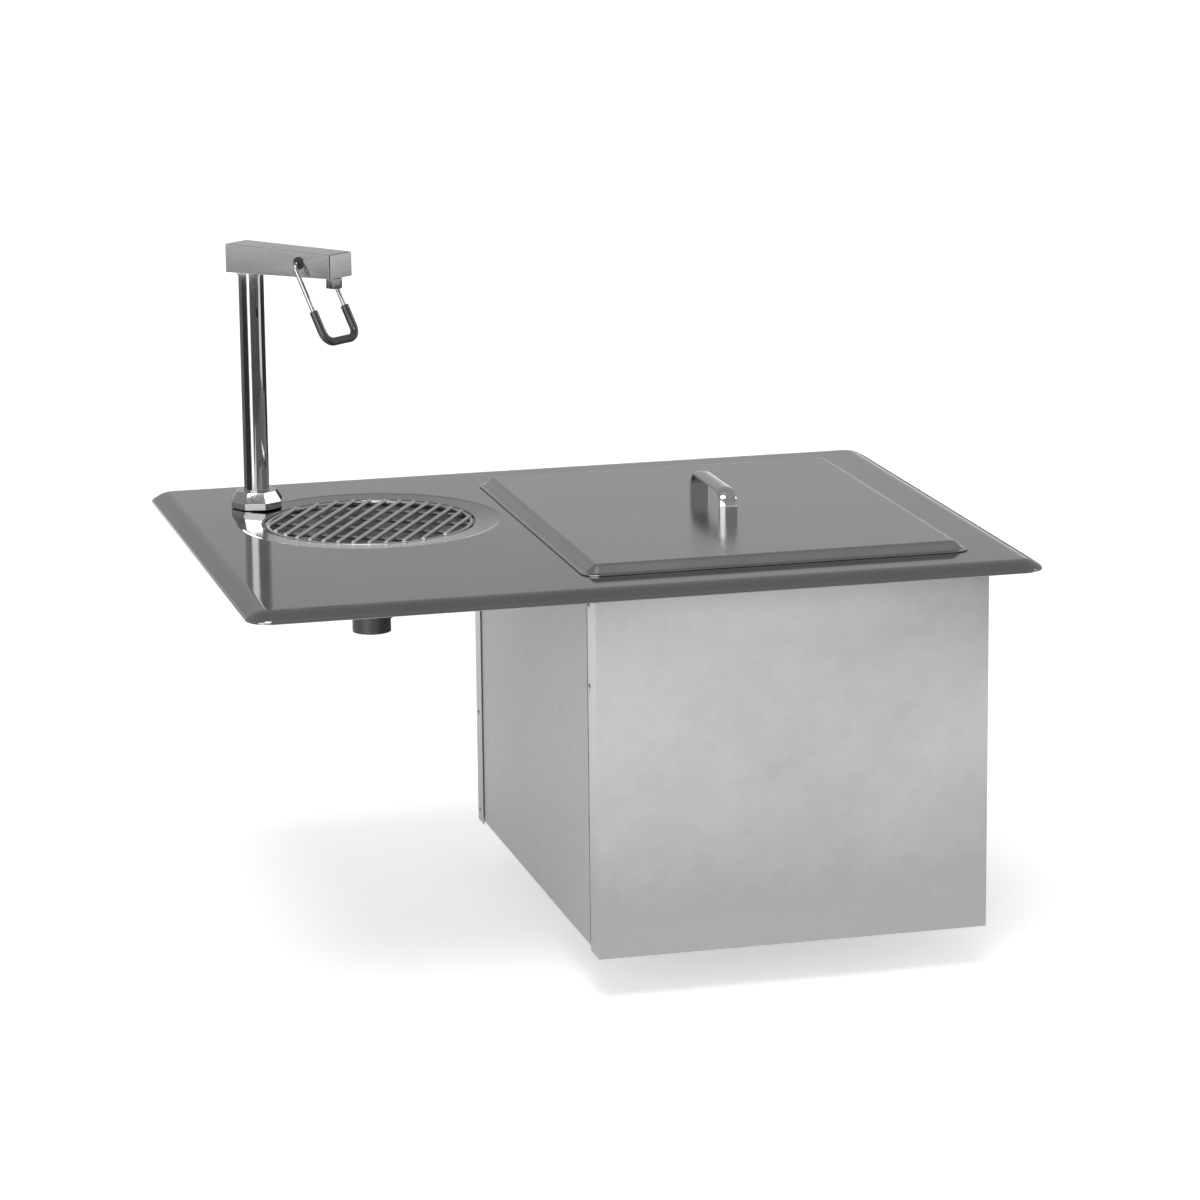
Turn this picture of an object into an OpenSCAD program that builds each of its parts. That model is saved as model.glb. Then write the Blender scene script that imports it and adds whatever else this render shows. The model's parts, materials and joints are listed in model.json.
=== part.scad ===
// Drop-in ice bin with a glass filler, a drip pan and a lift-off lid.
// Millimetres. Origin at the middle of the rim's underside, where the rim sits on the counter.
// +Z is up, +Y is towards the back edge and +X is towards the bin end.

/* [Deck] */
// Overall width of the deck
deck_w = 660; // [620:5:760]
// Overall depth of the deck, front to back
deck_d = 508; // [500:2:600]
// Radius of the deck's corners
deck_corner_r = 20; // [17:1:30]
// Height of the deck's top above the counter
rim_h = 9; // [7:0.5:14]
// Width of the bevel round the rim, seen from above
bevel_w = 11; // [8:0.5:13]
// Height of the upright lip under the bevel
rim_lip_h = 2.4; // [2:0.1:4]
// Width of the hem that is folded in under the rim
hem_w = 14; // [12:0.5:16]
// Thickness of the deck's sheet
sheet_t = 1.2; // [0.9:0.1:1.5]

/* [Bin case] */
// Height of the outer case below the counter
case_h = 309; // [240:1:380]
// Deck left over between the case and the right edge
case_right_gap = 38; // [30:1:46]
// Deck left over between the case and the front edge
case_front_gap = 38; // [30:1:46]
// Deck left over between the case and the back edge
case_back_gap = 30; // [24:1:40]
// Deck left over between the case and the drip pan's dished edge
case_pan_gap = 31; // [20:1:60]
// Thickness of the case's sheet
case_t = 0.8; // [0.6:0.1:1.2]
// Width of the front panel's folds round the case's corners
front_fold_w = 27; // [26:1:34]
// Width of the back panel's folds round the case's corners
back_fold_w = 21; // [18:1:30]
// How far the side panels stop above the bottom of the folds
case_side_lift = 3; // [2:0.5:5]

/* [Ice well] */
// Radius of the well's upright corners
well_r = 18; // [15:1:30]
// Radius of the cove round the well's floor
well_cove_r = 12; // [8:1:14]
// Height of the throat that is turned down round the opening
throat_h = 14; // [10:1:20]
// Thickness of the liner's sheet
liner_t = 1; // [0.8:0.1:1.4]
// Thickness of the foam under the liner
floor_foam_t = 20; // [14:1:30]
// Thickness of the foam to the left of the liner
left_foam_t = 5.65; // [4:0.05:20]
// Thickness of the foam to the right of the liner
right_foam_t = 20.65; // [10:0.05:30]
// Thickness of the foam in front of the liner
front_foam_t = 22.95; // [10:0.05:30]
// Thickness of the foam behind the liner
back_foam_t = 44.95; // [20:0.05:55]

/* [Lid] */
// How far the lid reaches over the well's left and right edges
lid_side_lap = 14.5; // [8:0.5:20]
// How far the lid reaches over the well's front and back edges
lid_front_lap = 12; // [8:0.5:20]
// Radius of the corners of the lid's flat top
lid_flat_r = 3; // [2:0.5:12]
// Width of the flat flange round the lid
lid_flange_w = 4; // [3:0.5:4.5]
// Width of the lid's bevel, seen from above
lid_bevel_w = 7; // [6:0.5:8]
// Height of the lid over its flange's underside
lid_h = 7.6; // [7:0.2:11]
// Thickness of the lid's sheet
lid_t = 1; // [0.8:0.1:1.2]
// How far the locating hem reaches into the well
hem_reach = 9; // [6:1:12]
// Side clearance between the locating hem and the well
hem_play = 3; // [2:0.5:4]

/* [Lid handle] */
// Clear length between the handle's legs
handle_span = 86; // [66:1:110]
// Height of the handle over the lid
handle_h = 25; // [22:1:34]
// Width of the handle's strap
handle_w = 15; // [12:0.5:20]
// Thickness of the strap
handle_t = 3.5; // [3:0.5:5]
// Thickness of the legs where they meet the lid
handle_leg_t = 7; // [6:0.5:9]
// Radius of the handle's outer bends
handle_bend_r = 16; // [12:1:18]
// How far the handle's middle lies in front of the lid's middle
handle_front = -2; // [-6:1:12]
// How far the handle's middle lies to the left of the lid's middle
handle_left = 1; // [0:0.5:10]

/* [Drip pan] */
// Deck left over between the left edge and the pan's dished edge
pan_left_gap = 66; // [54:1:90]
// Deck left over between the back edge and the pan's dished edge
pan_back_gap = 91.5; // [70:0.5:120]
// Radius of the grille
grille_r = 89; // [80:1:90]
// Depth of the pan's floor under the deck's top
pan_depth = 46; // [36:1:50]
// Thickness of the spun pan
pan_t = 1; // [0.8:0.1:1.2]
// Radius of the grille's bars
bar_r = 1.6; // [1.2:0.1:1.8]
// Spacing of the grille's bars
bar_pitch = 13.1; // [11:0.1:16]
// Direction of the bars, from the deck's width
bar_angle = 60.6; // [45:0.1:75]

/* [Glass filler] */
// Distance from the pan's dished edge to the post's axis
post_gap = 22.5; // [20:0.5:30]
// Bearing of the post from the pan's middle, from straight back towards the left
post_turn = 44; // [20:1:70]
// Radius of the post
post_r = 11; // [10:0.5:12.5]
// Wall of the post
post_wall = 1.5; // [1.2:0.1:2]
// Height of the arm's underside over the counter, at its back end
arm_under_h = 214.5; // [190:0.5:260]
// How much less high the arm is at its tip
arm_taper = 4.2; // [0:0.2:4.6]
// Length of the arm in front of the post's axis
arm_front_l = 103; // [101:1:108]
// Length of the arm behind the post's axis
arm_back_l = 16.5; // [15:0.5:22]
// Width of the arm
arm_w = 27; // [26:0.5:32]
// Wall of the arm
arm_wall = 1.5; // [1.2:0.1:1.8]
// Turn of the arm, from straight forward towards the bin
arm_turn = 38; // [30:1:45]
// Width of the base over its corners
base_d = 46.6; // [42:0.2:46.8]
// Width of the base's top over its corners
base_top_d = 36; // [30:1:38]
// Turn of the base's front face, from straight forward to the left
base_turn = 14; // [0:1:20]
// Height of the base's upright foot
base_foot_h = 5.5; // [4:0.5:7]
// Height of the base's tapered part
base_taper_h = 8.5; // [6:0.5:12]

/* [Lever] */
// Distance of the lever's pivot behind the arm's tip
pivot_back = 36; // [32:0.5:44]
// Depth of the pivot under the arm's top
pivot_drop = 9.8; // [9:0.1:10.2]
// Length of the lever from its pivot to its bottom bar
lever_l = 73; // [60:1:90]
// Straight wire left over between each bush and the lever's bend
lever_side_gap = 0.7; // [0.4:0.1:4]
// Radius of the lever's wire
wire_r = 2; // [1.8:0.1:2.1]
// Radius of the soft grip
grip_r = 3.6; // [3:0.1:4.2]
// Distance from the pivot to where the grip starts
grip_start = 44; // [36:1:50]
// Tilt of the lever towards the tip, from upright
lever_tilt = 28.6; // [20:0.2:32]
// Swing of the lever back to the post when a glass is pushed against it
lever_swing = 18; // [12:1:20]

/* [Plumbing] */
// Radius of the drains' tailpieces
tail_r = 16.7; // [13:0.1:17]
// Wall of the drains' tailpieces
tail_wall = 3.2; // [2:0.1:5]
// Depth of the pan drain's end below the counter
pan_tail_h = 88; // [84:1:120]
// Reach of the bin drain's tailpiece under the case
bin_tail_h = 38; // [32:1:60]
// Depth of the filler shank's end below the counter
shank_h = 62; // [54:1:80]
// How much smaller in radius the filler shank's free end is than the post
shank_step = 0.6; // [0.5:0.1:2]

/* [Hidden] */

$fn = 96;
steel = [0.56, 0.57, 0.58];
bright = [0.80, 0.81, 0.82];
zinc = [0.72, 0.73, 0.74];
foam = [0.90, 0.86, 0.70];
black = [0.07, 0.07, 0.07];
rubber = [0.16, 0.16, 0.16];
brass = [0.72, 0.58, 0.30];
// overrun of every cut
cut = 1;
// radial play of a part that is pushed in
fit = 0.05;
// gap under a part that lifts off
seat_gap = 0.3;
under_z = rim_h - sheet_t;

// drip pan
dish_w = 4.5;
dish_drop = 2.5;
pan_lip_h = 4;
pan_play = 2;
lip_r = grille_r + pan_play;
dish_r = lip_r + dish_w;
pan_x = -deck_w / 2 + pan_left_gap + dish_r;
pan_y = deck_d / 2 - pan_back_gap - dish_r;
pan_r = lip_r + sheet_t + fit;
shelf_w = 8;
shelf_r = lip_r - shelf_w;
shelf_z = rim_h - dish_drop - pan_lip_h;
pan_floor_z = rim_h - pan_depth;
pan_cone_h = 6;
ring_bar_r = 2;
ring_z = shelf_z + pan_t + seat_gap + ring_bar_r;
cross_bar_r = 1.6;
weld_sink = 0.4;
cross_drop = 0.5;
bar_end_short = 0.6;
cross_z = ring_z - cross_drop;
bar_z = cross_z + cross_bar_r + bar_r - weld_sink;
cross_count = 4;

// places and sizes of the case and the ice well
case_x0 = pan_x + dish_r + case_pan_gap;
case_x1 = deck_w / 2 - case_right_gap;
case_y0 = -deck_d / 2 + case_front_gap;
case_y1 = deck_d / 2 - case_back_gap;
case_w = case_x1 - case_x0;
liner_flange_w = 5;
side_bottom = -case_h + case_side_lift;
floor_z = side_bottom + case_t;
foam_floor_z = floor_z + case_t;
liner_floor_z = foam_floor_z + floor_foam_t;
liner_top_z = under_z - liner_t;
foam_top_z = liner_top_z;
inner_x0 = case_x0 + 2 * case_t;
inner_x1 = case_x1 - 2 * case_t;
inner_y0 = case_y0 + case_t;
inner_y1 = case_y1 - case_t;
liner_x0 = inner_x0 + left_foam_t;
liner_x1 = inner_x1 - right_foam_t;
liner_y0 = inner_y0 + front_foam_t;
liner_y1 = inner_y1 - back_foam_t;
liner_w = liner_x1 - liner_x0 - 2 * liner_t;
liner_d = liner_y1 - liner_y0 - 2 * liner_t;
liner_r = well_r + sheet_t + fit;
well_w = liner_w - 2 * (sheet_t + fit);
well_d = liner_d - 2 * (sheet_t + fit);

// rivets through the folds: depths under the counter as shares of the case's height
front_rivet_inset = 22;
back_rivet_inset = 7;
rivet_head_r = 3.2;
rivet_head_h = 1.2;
rivet_shank_r = 1.6;
rivet_hole_play = 0.1;
front_rivet_shares = [0.052, 0.272];
back_rivet_shares = [0.673, 0.970];

// lid
lid_x = (liner_x0 + liner_x1) / 2;
lid_y = (liner_y0 + liner_y1) / 2;
lid_w = well_w + 2 * lid_side_lap;
lid_d = well_d + 2 * lid_front_lap;
lid_corner_r = lid_flat_r + lid_bevel_w + lid_flange_w;
handle_l = handle_span + 2 * handle_leg_t;
lid_z = rim_h + seat_gap;
lid_top_z = lid_z + lid_h;
hem_z = rim_h - hem_reach;
screw_r = 2;
screw_head_r = 4;
screw_head_h = 2.4;
screw_depth = 9;

// drains, made alike for the pan and the bin
drain_bore_r = tail_r - tail_wall;
drain_flange_r = 30;
drain_flange_t = 1.6;
drain_thread_r = tail_r + 0.5 * sheet_t;
gasket_t = 2;
washer_t = 1;
drain_nut_r = 26;
drain_nut_h = 9;
drain_hole_r = drain_thread_r + fit;
tail_plain_h = 12;
tail_collar_h = 3;
strainer_t = 0.8;
strainer_hole_r = 2;
strainer_rings = 3;

// filler
post_x = pan_x - (dish_r + post_gap) * sin(post_turn);
post_y = pan_y + (dish_r + post_gap) * cos(post_turn);
arm_l = arm_front_l + arm_back_l;
shank_r = post_r - shank_step;
cap_t = 0.8;
cap_seam = 1.6;
shank_thread_r = shank_r + fit + 0.2 * sheet_t;
shank_hole_r = shank_thread_r + fit;
shank_bore_r = 5;
shank_spigot_h = 18;
shank_nut_r = 18;
shank_nut_h = 7;
shank_thread_h = 32;
base_shoulder_h = 2;
half_facet = 22.5;
base_gasket_t = 0.8;
base_z = rim_h + base_gasket_t;
base_top_z = base_z + base_foot_h + base_taper_h;
collar_w = 0.7;
collar_h = 2;
tube_r = 2.2;
tube_bend_r = 12;

// valve inside the arm's tip: heights are stacked up from its underside to the pivot
pivot_s = arm_front_l - pivot_back;
cam_reach = 7;
cam_angle = 34;
cam_nose_r = 1.8;
cam_arm_r = 0.9;
cam_hub_wall = 0.65;
cam_hub_r = wire_r + fit + cam_hub_wall;
cam_w = 5;
valve_s = pivot_s + cam_reach * cos(cam_angle - lever_swing / 2);
valve_travel = cam_reach * (sin(cam_angle) - sin(cam_angle - lever_swing));
valve_w = 16;
valve_short = 4;
valve_front_s = arm_front_l - valve_short;
valve_z = arm_under(valve_front_s) + arm_wall + 2 * fit;
stem_r = 0.8;
head_r = 2;
head_t = 1;
poppet_r = 1.7;
poppet_t = 0.6;
chamber_r = 2.2;
plug_t = 0.7;
seat_t = 0.7;
seat_bore_r = 1.3;
upper_chamber_h = 1.3;
guide_t = 0.9;
passage_r = 0.55;
inlet_r = 1;
outlet_r = 1.5;
chamber_z = valve_z + plug_t;
seat_z = chamber_z + valve_travel + poppet_t + 2 * fit;
guide_z = seat_z + seat_t + upper_chamber_h;
spring_z = guide_z + guide_t;
spring_h = 3.87;
head_top_z = spring_z + spring_h + head_t;
pivot_z = head_top_z + seat_gap + cam_nose_r - cam_reach * sin(cam_angle);
arm_top_z = pivot_z + pivot_drop;
arm_back_h = arm_top_z - arm_under_h;
valve_back_s = valve_s - head_r - 2 * guide_t;
spring_r = head_r;
outlet_back = 8.5;
outlet_s = arm_front_l - outlet_back;
nozzle_r = 7.2;
nozzle_h = 9;
nozzle_neck_r = 4.2;
nozzle_neck_h = 4.5;
nozzle_bore_r = 3.4;
nozzle_z = arm_under(outlet_s - nozzle_r) - fit;
tube_z = valve_z + tube_r;
bush_r = 4.4;
bush_flange_r = 5.4;
bush_flange_t = 0.8;
bush_in_l = 3;
wire_bend_r = 5;
lever_bend_r = 10;
lever_w = arm_w + 2 * (bush_flange_t + lever_side_gap + wire_bend_r);

// Height of the arm's underside at a distance in front of the post
function arm_under(at_s) = arm_under_h + arm_taper * (at_s + arm_back_l) / arm_l;

// A flat rectangle with round corners, centred
module round_rect(w, d, r) {
    square([w - 2 * r, d], center = true);
    square([w, d - 2 * r], center = true);
    for (sx = [-1, 1], sy = [-1, 1])
        translate([sx * (w / 2 - r), sy * (d / 2 - r)]) circle(r);
}

// Carries a profile round a rectangle with round corners. The profile's x starts at the corners' centres
module run_round(w, d, r) {
    for (k = [0:3]) {
        a = k % 2 == 0 ? w : d;
        b = k % 2 == 0 ? d : w;
        rotate([0, 0, 90 * k]) {
            translate([a / 2 - r, b / 2 - r, 0]) rotate([90, 0, 0]) linear_extrude(b - 2 * r) children();
            translate([a / 2 - r, b / 2 - r, 0]) rotate_extrude(angle = 90) children();
        }
    }
}

// A folded sheet's edge: flat top, bevel, upright lip and an inward hem, of sheet t
module edge_profile(r, h, bevel, lip, hem, t, lap) {
    slope = (h - lip) / bevel;
    drop = t * sqrt(1 + slope * slope);
    polygon([
        [r - bevel - lap, h], [r - bevel, h], [r, lip], [r, 0], [r - hem, 0], [r - hem, t], [r - t, t],
        [r - t, lip + t * slope - drop], [r - bevel - (drop - t) / slope, h - t], [r - bevel - lap, h - t]
    ]);
}

module ring(r_out, r_in, h) {
    difference() {
        cylinder(r = r_out, h = h);
        translate([0, 0, -cut]) cylinder(r = r_in, h = h + 2 * cut);
    }
}

module at_pan() { translate([pan_x, pan_y, 0]) children(); }
module at_bin_drain() { translate([lid_x, lid_y, 0]) children(); }
module at_lid() { translate([lid_x, lid_y, 0]) children(); }
module at_post() { translate([post_x, post_y, 0]) children(); }

// The arm's own frame: x runs from the post towards the tip, y across the arm
module along_arm() { at_post() rotate([0, 0, arm_turn - 90]) children(); }

module deck_top() {
    lap = 3 * sheet_t;
    inset_w = deck_w - 2 * bevel_w;
    inset_d = deck_d - 2 * bevel_w;
    color(steel) difference() {
        union() {
            run_round(deck_w, deck_d, deck_corner_r)
                edge_profile(deck_corner_r, rim_h, bevel_w, rim_lip_h, hem_w, sheet_t, lap);
            translate([0, 0, under_z]) linear_extrude(sheet_t) difference() {
                round_rect(inset_w, inset_d, deck_corner_r - bevel_w);
                translate([pan_x, pan_y]) circle(dish_r);
                translate([lid_x, lid_y]) round_rect(well_w, well_d, well_r);
            }
            at_pan() pan_dish();
            at_lid() run_round(well_w, well_d, well_r)
                translate([well_r, rim_h - throat_h]) square([sheet_t, throat_h]);
        }
        at_post() translate([0, 0, under_z - cut]) cylinder(r = shank_hole_r, h = sheet_t + 2 * cut);
    }
}

// The sloping edge and upright lip round the pan's opening
module pan_dish() {
    dish_z = rim_h - dish_drop;
    slope = dish_drop / dish_w;
    rotate_extrude() polygon([
        [dish_r, rim_h], [lip_r, dish_z], [lip_r, shelf_z + pan_t],
        [lip_r + sheet_t, shelf_z + pan_t], [lip_r + sheet_t, dish_z - sheet_t + slope * sheet_t],
        [dish_r, under_z], [dish_r + sheet_t, under_z], [dish_r + sheet_t, rim_h]
    ]);
}

module bin_liner() {
    wall_bottom = liner_floor_z + well_cove_r;
    color(steel) at_lid() {
        translate([0, 0, liner_top_z]) linear_extrude(liner_t) difference() {
            round_rect(liner_w + 2 * liner_flange_w, liner_d + 2 * liner_flange_w, liner_r + liner_flange_w);
            round_rect(liner_w, liner_d, liner_r);
        }
        translate([0, 0, wall_bottom]) linear_extrude(liner_top_z - wall_bottom) difference() {
            round_rect(liner_w + 2 * liner_t, liner_d + 2 * liner_t, liner_r + liner_t);
            round_rect(liner_w, liner_d, liner_r);
        }
        run_round(liner_w, liner_d, liner_r) translate([liner_r - well_cove_r + liner_t, wall_bottom])
            intersection() {
                difference() {
                    circle(well_cove_r);
                    circle(well_cove_r - liner_t);
                }
                translate([0, -well_cove_r]) square(well_cove_r);
            }
        difference() {
            translate([0, 0, liner_floor_z]) linear_extrude(liner_t)
                round_rect(liner_w - 2 * (well_cove_r - liner_t), liner_d - 2 * (well_cove_r - liner_t),
                    liner_r - well_cove_r + liner_t);
            translate([0, 0, liner_floor_z - cut]) cylinder(r = drain_hole_r, h = liner_t + 2 * cut);
        }
    }
}

// A block of foam between two corners
module foam_block(x0, y0, z0, x1, y1, z1) {
    color(foam) translate([x0, y0, z0]) cube([x1 - x0, y1 - y0, z1 - z0]);
}

module foam_front() { foam_block(inner_x0, inner_y0, liner_floor_z, inner_x1, liner_y0, foam_top_z); }
module foam_back() { foam_block(inner_x0, liner_y1, liner_floor_z, inner_x1, inner_y1, foam_top_z); }
module foam_left() { foam_block(inner_x0, liner_y0, liner_floor_z, liner_x0, liner_y1, foam_top_z); }
module foam_right() { foam_block(liner_x1, liner_y0, liner_floor_z, inner_x1, liner_y1, foam_top_z); }

module foam_floor() {
    difference() {
        foam_block(inner_x0, inner_y0, foam_floor_z, inner_x1, inner_y1, liner_floor_z);
        at_bin_drain() translate([0, 0, foam_floor_z - cut])
            cylinder(r = drain_hole_r + gasket_t, h = floor_foam_t + 2 * cut);
    }
}

// Rivet places on the left and right folds: [x sign, y, z]
function rivet_places(y, shares) = [for (side = [-1, 1], s = shares) [side, y, -s * case_h]];

// Sets its children on each rivet's axis, pointing out of the case
module at_rivets(places) {
    for (p = places)
        translate([p[0] < 0 ? case_x0 : case_x1, p[1], p[2]]) rotate([0, p[0] * 90, 0]) children();
}

front_rivets = rivet_places(case_y0 + front_rivet_inset, front_rivet_shares);
back_rivets = rivet_places(case_y1 - back_rivet_inset, back_rivet_shares);

module rivet_holes(places) {
    at_rivets(places) translate([0, 0, -4 * case_t])
        cylinder(r = rivet_shank_r + rivet_hole_play, h = 8 * case_t, $fn = 24);
}

// A panel with a fold wrapped round each upright corner, facing -Y
module folded_panel(fold_w) {
    h = case_h + under_z;
    translate([case_x0, 0, -case_h]) {
        cube([case_w, case_t, h]);
        cube([case_t, fold_w, h]);
        translate([case_w - case_t, 0, 0]) cube([case_t, fold_w, h]);
    }
}

module case_front() {
    color(zinc) difference() {
        translate([0, case_y0, 0]) folded_panel(front_fold_w);
        rivet_holes(front_rivets);
    }
}

module case_back() {
    color(zinc) difference() {
        translate([0, case_y1, 0]) mirror([0, 1, 0]) folded_panel(back_fold_w);
        rivet_holes(back_rivets);
    }
}

module side_panel(x) {
    color(zinc) difference() {
        translate([x, inner_y0, side_bottom]) cube([case_t, inner_y1 - inner_y0, under_z - side_bottom]);
        rivet_holes(concat(front_rivets, back_rivets));
    }
}

module case_left() { side_panel(case_x0 + case_t); }
module case_right() { side_panel(case_x1 - 2 * case_t); }

module case_floor() {
    color(zinc) difference() {
        translate([inner_x0, inner_y0, floor_z]) cube([inner_x1 - inner_x0, inner_y1 - inner_y0, case_t]);
        at_bin_drain() translate([0, 0, floor_z - cut]) cylinder(r = drain_hole_r, h = case_t + 2 * cut);
    }
}

module case_rivets() {
    cap_r = (rivet_head_r * rivet_head_r + rivet_head_h * rivet_head_h) / (2 * rivet_head_h);
    color(bright) at_rivets(concat(front_rivets, back_rivets)) {
        intersection() {
            translate([0, 0, rivet_head_h - cap_r]) sphere(cap_r, $fn = 32);
            cylinder(r = rivet_head_r, h = rivet_head_h, $fn = 32);
        }
        translate([0, 0, -2 * case_t]) cylinder(r = rivet_shank_r, h = 2 * case_t, $fn = 24);
    }
}

// A drain's flanged body. The flange's underside is at flange_z and the tail ends at end_z
module drain_body(flange_z, end_z) {
    collar_z = end_z + tail_plain_h;
    bore_h = flange_z + drain_flange_t - end_z + 2 * cut;
    difference() {
        union() {
            translate([0, 0, flange_z]) cylinder(r = drain_flange_r, h = drain_flange_t);
            translate([0, 0, collar_z]) cylinder(r = drain_thread_r, h = flange_z - collar_z);
            translate([0, 0, end_z]) cylinder(r = tail_r, h = tail_plain_h);
            translate([0, 0, collar_z]) cylinder(r = drain_thread_r + sheet_t, h = tail_collar_h);
        }
        translate([0, 0, end_z - cut]) cylinder(r = drain_bore_r, h = bore_h);
    }
}

// A round plate with rings of holes
module strainer(r, t) {
    difference() {
        cylinder(r = r, h = t);
        for (k = [1:strainer_rings], j = [0:6 * k - 1])
            rotate([0, 0, 60 * j / k]) translate([r * k / (strainer_rings + 1), 0, -cut])
                cylinder(r = strainer_hole_r, h = t + 2 * cut, $fn = 16);
    }
}

// A six-sided nut with a bore
module hex_nut(r, h, bore) {
    difference() {
        cylinder(r = r, h = h, $fn = 6);
        translate([0, 0, -cut]) cylinder(r = bore, h = h + 2 * cut);
    }
}

bin_flange_z = liner_floor_z + liner_t + gasket_t;
bin_nut_top_z = floor_z - washer_t;

module bin_drain_body() {
    color(steel) at_bin_drain() drain_body(bin_flange_z, -case_h - bin_tail_h);
}
module bin_drain_gasket() {
    color(rubber) at_bin_drain() translate([0, 0, liner_floor_z + liner_t])
        ring(drain_flange_r, drain_hole_r, gasket_t);
}
module bin_drain_washer() {
    color(bright) at_bin_drain() translate([0, 0, bin_nut_top_z])
        ring(drain_flange_r, drain_hole_r, washer_t);
}
module bin_drain_nut() {
    color(brass) at_bin_drain() translate([0, 0, bin_nut_top_z - drain_nut_h])
        hex_nut(drain_nut_r, drain_nut_h, drain_hole_r);
}
module bin_strainer() {
    color(bright) at_bin_drain() translate([0, 0, bin_flange_z + drain_flange_t])
        strainer(drain_flange_r, strainer_t);
}

module screw_hole(h) {
    translate([0, 0, -cut]) cylinder(r = screw_r + fit, h = h + cut, $fn = 32);
}

module lid_shell() {
    in = lid_flange_w + lid_bevel_w;
    lap = 1.5 * lid_t;
    slope = (lid_h - lid_t) / lid_bevel_w;
    drop = lid_t * sqrt(1 + slope * slope);
    r = lid_corner_r;
    color(steel) at_lid() translate([0, 0, lid_z]) {
        run_round(lid_w, lid_d, r) polygon([
            [r - in - lap, lid_h], [r - in, lid_h], [r - lid_flange_w, lid_t], [r, lid_t], [r, 0],
            [r - lid_flange_w - (drop - lid_t) / slope, 0], [r - in - (drop - lid_t) / slope, lid_h - lid_t],
            [r - in - lap, lid_h - lid_t]
        ]);
        difference() {
            translate([0, 0, lid_h - lid_t]) linear_extrude(lid_t)
                round_rect(lid_w - 2 * in, lid_d - 2 * in, r - in);
            at_handle_legs() screw_hole(lid_h + cut);
        }
    }
}

// The ring under the lid that drops into the well
module lid_hem() {
    w = well_w - 2 * hem_play;
    d = well_d - 2 * hem_play;
    r = well_r - hem_play;
    color(steel) at_lid() translate([0, 0, hem_z]) linear_extrude(lid_top_z - lid_t - hem_z) difference() {
        round_rect(w, d, r);
        round_rect(w - 2 * lid_t, d - 2 * lid_t, r - lid_t);
    }
}

// The handle's side outline: an arch with round bends
module arch(l, h, r) {
    square([l, h - r]);
    translate([r, 0]) square([l - 2 * r, h]);
    intersection() {
        for (x = [r, l - r]) translate([x, h - r]) circle(r);
        square([l, h]);
    }
}

module at_handle() { translate([-handle_left, -handle_front, 0]) children(); }
module at_handle_legs() {
    at_handle() for (s = [-1, 1]) translate([0, s * (handle_l - handle_leg_t) / 2, 0]) children();
}

module lid_handle() {
    color(bright) at_lid() translate([0, 0, lid_top_z]) difference() {
        at_handle() translate([handle_w / 2, handle_l / 2, 0]) rotate([90, 0, -90]) linear_extrude(handle_w)
            difference() {
                arch(handle_l, handle_h, handle_bend_r);
                translate([handle_leg_t, -cut])
                    arch(handle_span, handle_h - handle_t + cut, handle_bend_r - handle_leg_t);
            }
        at_handle_legs() screw_hole(screw_depth);
    }
}

module handle_screws() {
    color(bright) at_lid() at_handle_legs() translate([0, 0, lid_top_z - lid_t]) {
        translate([0, 0, -screw_head_h]) cylinder(r = screw_head_r, h = screw_head_h, $fn = 32);
        cylinder(r = screw_r, h = screw_depth, $fn = 32);
    }
}

module pan_bowl() {
    wall_z = pan_floor_z + pan_cone_h;
    color(steel) at_pan() rotate_extrude() polygon([
        [pan_r, shelf_z + pan_t + pan_lip_h / 2], [pan_r, shelf_z + pan_t], [shelf_r, shelf_z + pan_t],
        [shelf_r, wall_z], [drain_flange_r, pan_floor_z], [drain_hole_r, pan_floor_z],
        [drain_hole_r, pan_floor_z - pan_t], [drain_flange_r, pan_floor_z - pan_t],
        [shelf_r + pan_t, wall_z - pan_t], [shelf_r + pan_t, shelf_z], [pan_r + pan_t, shelf_z],
        [pan_r + pan_t, shelf_z + pan_t + pan_lip_h / 2]
    ]);
}

// Half the length of a bar at a distance from the grille's middle. Its ends lie inside the ring
function half_chord(off) = sqrt(pow(grille_r - ring_bar_r, 2) - off * off) - bar_end_short;

module grille_bar(off, r) {
    half = half_chord(off);
    translate([-half, off, 0]) rotate([0, 90, 0]) cylinder(r = r, h = 2 * half, $fn = 20);
}

module drip_grille() {
    bar_count = floor((grille_r - ring_bar_r - bar_r) / bar_pitch);
    cross_pitch = 2 * grille_r / (cross_count + 1);
    color(bright) at_pan() {
        translate([0, 0, ring_z]) rotate_extrude() translate([grille_r - ring_bar_r, 0])
            circle(ring_bar_r, $fn = 20);
        rotate([0, 0, bar_angle]) {
            translate([0, 0, bar_z]) for (k = [-bar_count:bar_count]) grille_bar(k * bar_pitch, bar_r);
            translate([0, 0, cross_z]) rotate([0, 0, 90]) for (k = [0:cross_count - 1])
                grille_bar((k - (cross_count - 1) / 2) * cross_pitch, cross_bar_r);
        }
    }
}

pan_flange_z = pan_floor_z + gasket_t;
pan_nut_top_z = pan_floor_z - pan_t - washer_t;

module pan_drain_body() {
    color(steel) at_pan() drain_body(pan_flange_z, -pan_tail_h);
}
module pan_drain_gasket() {
    color(rubber) at_pan() translate([0, 0, pan_floor_z]) ring(drain_flange_r, drain_hole_r, gasket_t);
}
module pan_drain_washer() {
    color(bright) at_pan() translate([0, 0, pan_nut_top_z])
        ring(drain_flange_r, drain_hole_r, washer_t);
}
module pan_drain_nut() {
    color(brass) at_pan() translate([0, 0, pan_nut_top_z - drain_nut_h])
        hex_nut(drain_nut_r, drain_nut_h, drain_hole_r);
}
module pan_strainer() {
    color(bright) at_pan() translate([0, 0, pan_flange_z + drain_flange_t])
        strainer(drain_flange_r, strainer_t);
}

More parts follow.
